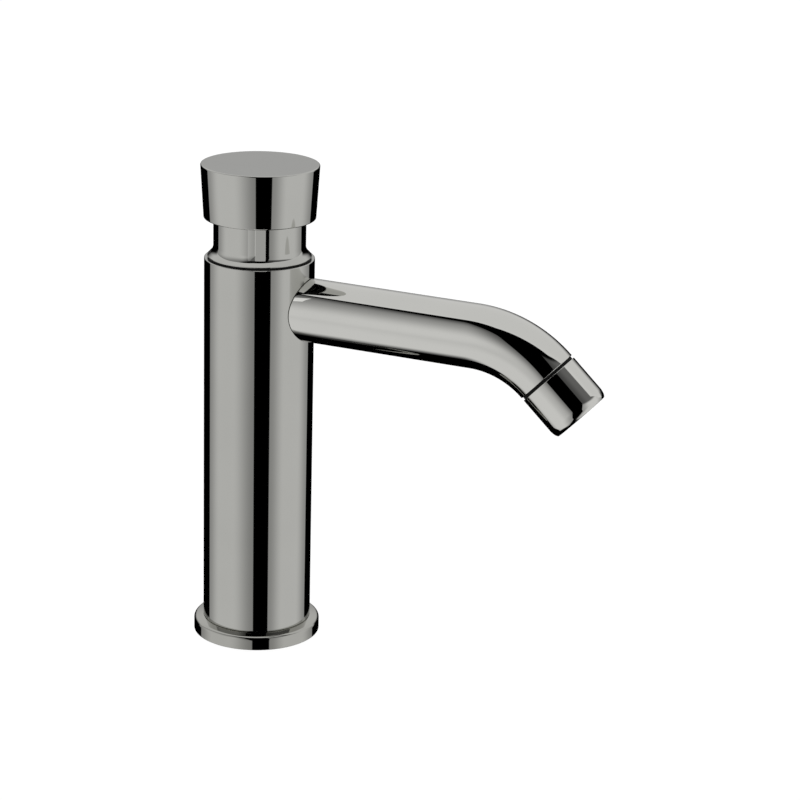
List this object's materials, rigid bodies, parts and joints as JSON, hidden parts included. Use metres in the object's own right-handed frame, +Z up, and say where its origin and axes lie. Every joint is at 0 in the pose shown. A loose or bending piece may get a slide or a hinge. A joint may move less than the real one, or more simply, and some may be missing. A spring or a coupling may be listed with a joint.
{
  "type": "basin faucet",
  "caption": "Single-supply basin tap with a round column, a bent tubular spout and a push-down cap that springs back and shuts the water off.",
  "frame": {"origin": "centre of the round base's underside, on the deck plane and on the column's axis", "axes": "+Z up along the column, +X the way the spout points, +Y to the left of someone looking along the spout"},
  "size_m": [0.1738, 0.0528, 0.2005],
  "materials": {
    "dark_chrome": "polished grey chrome plate on brass",
    "brass": "turned brass",
    "black_rubber": "moulded rubber",
    "stainless_steel": "bright stainless steel",
    "white_acetal": "moulded acetal"
  },
  "bodies": {
    "tap": {"column": "dark_chrome", "base_flange": "dark_chrome", "spout": "dark_chrome", "aerator_housing": "dark_chrome", "neck_collar": "dark_chrome", "base_plug": "brass", "spout_nipple": "brass", "cartridge_barrel": "brass", "valve_seat": "brass", "bonnet_nut": "brass", "base_gasket": "black_rubber", "flange_o_ring": "black_rubber", "plug_o_ring": "black_rubber", "nipple_o_ring": "black_rubber", "aerator_washer": "black_rubber", "barrel_o_ring": "black_rubber", "stem_o_ring": "black_rubber", "seam_ring": "black_rubber", "neck_gasket": "black_rubber", "inlet_strainer": "stainless_steel", "aerator_screen": "stainless_steel", "bleed_pin": "stainless_steel", "return_spring": "stainless_steel", "aerator_cage": "white_acetal", "aerator_grid": "white_acetal", "aerator_mixer": "white_acetal", "shoulder_gasket": "white_acetal", "bonnet_gasket": "white_acetal"},
    "plunger": {"push_cap": "dark_chrome", "stem": "stainless_steel", "piston": "brass", "lip_seal": "black_rubber", "piston_circlip": "stainless_steel", "valve_plate": "stainless_steel", "valve_washer": "black_rubber", "valve_disc": "brass", "valve_nut": "brass"}
  },
  "joints": [
    {"name": "push_slide", "type": "slide", "parent": "tap", "child": "plunger", "axis": [0, 0, -1], "range_m": [0, 0.007], "stiffness_N_per_m": 900, "springref_m": -0.01, "deforming": ["return_spring"]}
  ]
}
